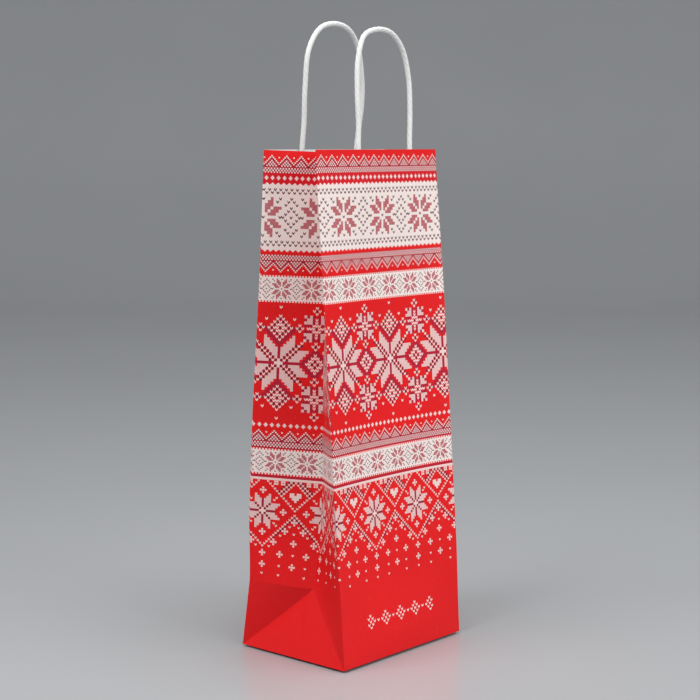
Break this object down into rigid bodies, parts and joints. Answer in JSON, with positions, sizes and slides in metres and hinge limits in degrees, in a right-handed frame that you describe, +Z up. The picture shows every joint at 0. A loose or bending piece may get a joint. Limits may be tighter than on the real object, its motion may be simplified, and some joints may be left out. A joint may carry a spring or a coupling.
{
  "type": "bottle gift bag",
  "caption": "Tall narrow paper gift bag for a bottle, with tucked side gussets, a block bottom and twisted paper handles glued inside the mouth.",
  "frame": {"origin": "middle of the base, on the surface that the bag stands on", "axes": "+Z up, front panel faces -Y, X runs across the front panel from left to right"},
  "size_m": [0.13, 0.1, 0.45],
  "materials": {
    "printed_paper": "matte",
    "plain_paper": "matte",
    "twisted_paper": "matte"
  },
  "bodies": {
    "root": {"base_back_flap": "printed_paper", "base_front_flap": "printed_paper", "base_left_end_flap": "plain_paper", "base_right_end_flap": "plain_paper", "back_panel_lower": "printed_paper", "left_gusset_base_triangle": "printed_paper", "left_gusset_fold_triangle": "printed_paper", "left_gusset_front_half": "printed_paper", "left_gusset_back_half": "printed_paper", "right_gusset_base_triangle": "printed_paper", "right_gusset_fold_triangle": "printed_paper", "right_gusset_front_half": "printed_paper", "right_gusset_back_half": "printed_paper"},
    "front_wall": {"front_panel": "printed_paper", "front_patch_backing": "plain_paper", "front_patch_cover": "plain_paper", "front_handle_left_end": "twisted_paper", "front_handle_right_end": "twisted_paper"},
    "back_wall": {"back_panel_upper": "printed_paper", "side_seam_lap": "printed_paper", "back_patch_backing": "plain_paper", "back_patch_cover": "plain_paper", "back_handle_left_end": "twisted_paper", "back_handle_right_end": "twisted_paper"},
    "front_handle": {"front_handle_loop": "twisted_paper"},
    "back_handle": {"back_handle_loop": "twisted_paper"}
  },
  "joints": [
    {"name": "front_wall_flex", "type": "hinge", "parent": "root", "child": "front_wall", "pos_m": [0, -0.05, 0], "axis": [1, 0, 0], "range_deg": [-1, 2], "stiffness_Nm_per_rad": 3, "deforming": ["left_gusset_front_half", "right_gusset_front_half"]},
    {"name": "back_wall_flex", "type": "hinge", "parent": "root", "child": "back_wall", "pos_m": [0, 0.0424, 0.04942], "axis": [-1, 0, 0], "range_deg": [-1, 2.3], "stiffness_Nm_per_rad": 3, "deforming": ["left_gusset_back_half", "right_gusset_back_half"]},
    {"name": "front_handle_tilt", "type": "hinge", "parent": "front_wall", "child": "front_handle", "pos_m": [0, -0.02116, 0.36086], "axis": [1, 0, 0], "range_deg": [-4.5, 60]},
    {"name": "back_handle_tilt", "type": "hinge", "parent": "back_wall", "child": "back_handle", "pos_m": [0, 0.0224, 0.36079], "axis": [-1, 0, 0], "range_deg": [-4.5, 60]}
  ]
}
